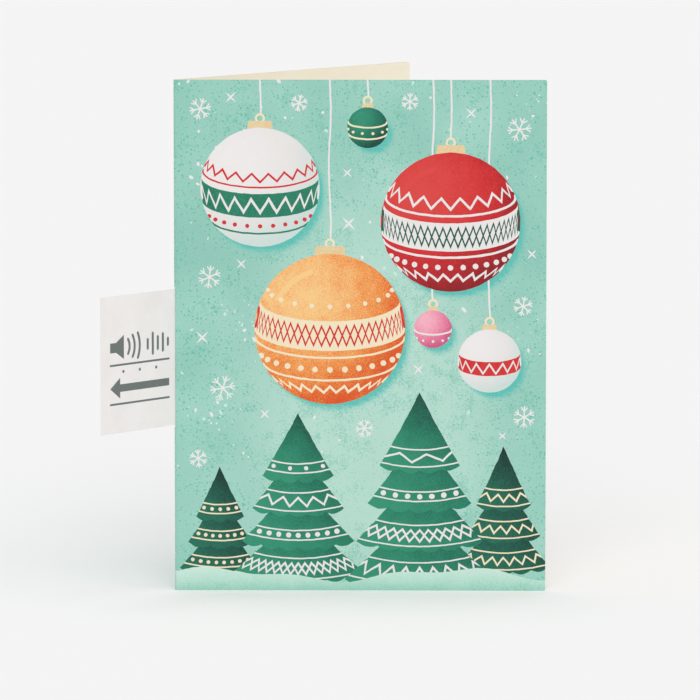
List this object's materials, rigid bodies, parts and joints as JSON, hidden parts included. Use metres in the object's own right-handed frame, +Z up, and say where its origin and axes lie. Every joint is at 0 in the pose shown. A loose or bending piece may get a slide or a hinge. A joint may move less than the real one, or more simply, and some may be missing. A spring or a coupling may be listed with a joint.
{
  "type": "sound greeting card",
  "caption": "Folding greeting card with a sound module in a pocket inside the back cover, a switch worked by opening and a pull-out test tag at the fold.",
  "frame": {"origin": "middle of the footprint on the table, with the card standing open on its bottom edges", "axes": "+Z up along the fold, +X along the front cover away from the fold, the front cover's printed face towards -Y"},
  "size_m": [0.152, 0.1292, 0.177],
  "materials": {
    "printed_card": "coated card, printed one side",
    "page_card": "uncoated cream card",
    "tag_card": "matt white card",
    "glue_tape": "double-sided tissue tape",
    "clear_film": "clear polyester film",
    "white_foam": "closed-cell foam",
    "white_plastic": "moulded polystyrene",
    "board_green": "glass-fibre laminate with green mask",
    "black_resin": "cured epoxy",
    "black_part": "moulded package",
    "tan_part": "fired chip",
    "nickel": "nickel-plated strip",
    "cell_steel": "stainless can",
    "spring_bronze": "phosphor bronze",
    "copper_foil": "copper foil",
    "solder": "tin solder",
    "zinc_steel": "zinc-plated steel",
    "magnet_nickel": "nickel-plated magnet",
    "copper_wire": "enamelled copper",
    "terminal_brown": "phenolic paper board",
    "wire_red": "PVC",
    "wire_black": "PVC",
    "gasket_nylon": "nylon"
  },
  "bodies": {
    "back_leaf": {"back_cover": "printed_card", "spine_fold": "printed_card", "liner_page": "page_card", "edge_tapes": "glue_tape", "pull_strap": "clear_film", "switch_guide": "white_plastic", "spacer_frame": "white_foam", "circuit_board": "board_green", "board_pads": "white_foam", "tag_contact_spring": "spring_bronze", "tag_contact_foil": "copper_foil", "switch_contact_spring": "spring_bronze", "switch_contact_foil": "copper_foil", "chip_blob": "black_resin", "chip_resistors": "black_part", "chip_capacitor": "tan_part", "transistor": "black_part", "solder_joints": "solder", "cell_tray": "white_plastic", "cell_cans": "cell_steel", "cell_caps": "cell_steel", "cell_gaskets": "gasket_nylon", "cell_links": "nickel", "positive_lead": "nickel", "negative_plate": "nickel", "cell_pad": "white_foam", "speaker_seat": "glue_tape", "speaker_yoke": "zinc_steel", "speaker_magnet": "magnet_nickel", "pole_plate": "zinc_steel", "speaker_basket": "zinc_steel", "cone_surround": "clear_film", "rim_seal": "white_foam", "terminal_board": "terminal_brown", "speaker_wire_red": "wire_red", "speaker_wire_black": "wire_black", "battery_wire": "wire_black"},
    "front_cover": {"front_cover": "printed_card", "strap_anchor": "clear_film"},
    "test_tag": {"test_tag": "tag_card"},
    "switch_tongue": {"switch_tongue": "clear_film"},
    "cone": {"cone_dome": "clear_film", "voice_coil": "copper_wire"}
  },
  "joints": [
    {"name": "cover_hinge", "type": "hinge", "parent": "back_leaf", "child": "front_cover", "pos_m": [-0.05149, -0.03517, 0], "axis": [0, 0, -1], "range_deg": [-44, 129], "deforming": ["spine_fold", "pull_strap"]},
    {"name": "tag_slide", "type": "slide", "parent": "back_leaf", "child": "test_tag", "axis": [-0.6293, -0.7771, 0], "range_m": [0, 0.05]},
    {"name": "tongue_slide", "type": "slide", "parent": "back_leaf", "child": "switch_tongue", "axis": [-0.6293, -0.7771, 0], "range_m": [-0.002, 0.0058]},
    {"name": "cone_travel", "type": "slide", "parent": "back_leaf", "child": "cone", "axis": [0.7771, -0.6293, 0], "range_m": [-0.00025, 0.00025], "stiffness_N_per_m": 300}
  ],
  "couplings": [
    {"joint": "tongue_slide", "follows": "cover_hinge", "m_per_rad": 0.00249}
  ]
}
